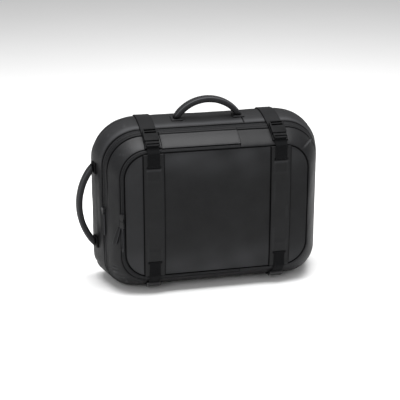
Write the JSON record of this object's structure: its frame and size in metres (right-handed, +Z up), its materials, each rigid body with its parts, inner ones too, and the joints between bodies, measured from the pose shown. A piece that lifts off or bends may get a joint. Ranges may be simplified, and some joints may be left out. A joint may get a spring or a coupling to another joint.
{
  "type": "convertible backpack",
  "caption": "Hollow leather briefcase backpack on its long side, with zipped front pocket, buckled straps and two arched handles.",
  "frame": {"origin": "middle of the object's footprint on the surface it stands on", "axes": "+Z up, +X along the bag's long side to the right, the front faces -Y"},
  "size_m": [0.4618, 0.1446, 0.3489],
  "materials": {
    "leather": "satin black, fine grain",
    "zip_tape": "matt woven tape",
    "webbing": "matt ribbed webbing",
    "plastic": "satin moulded",
    "slider_metal": "black, semi-gloss"
  },
  "bodies": {
    "root": {"back_panel": "leather", "rear_gusset": "leather", "main_zip_tape": "zip_tape", "front_gusset": "leather", "pocket_zip_tape": "zip_tape", "panel_left": "leather", "panel_centre": "leather", "panel_right": "leather", "hood_flap": "leather", "front_strip_left": "leather", "front_strip_right": "leather", "top_strap_left": "leather", "top_strap_right": "leather", "buckle_female_left": "plastic", "buckle_female_right": "plastic", "buckle_male_left": "plastic", "buckle_male_right": "plastic", "upper_web_left": "webbing", "upper_web_right": "webbing", "lower_web_left": "webbing", "lower_web_right": "webbing", "lower_buckle_left": "plastic", "lower_buckle_right": "plastic", "under_strap_left": "webbing", "under_strap_right": "webbing", "top_handle": "leather", "side_handle": "leather", "top_anchor_left": "leather", "top_anchor_right": "leather", "side_anchor_upper": "leather", "side_anchor_lower": "leather", "pocket_slider_upper": "slider_metal", "pocket_slider_lower": "slider_metal", "main_slider": "slider_metal", "pocket_pull_side": "leather", "pocket_pull_front": "leather", "main_pull": "leather"}
  },
  "joints": []
}
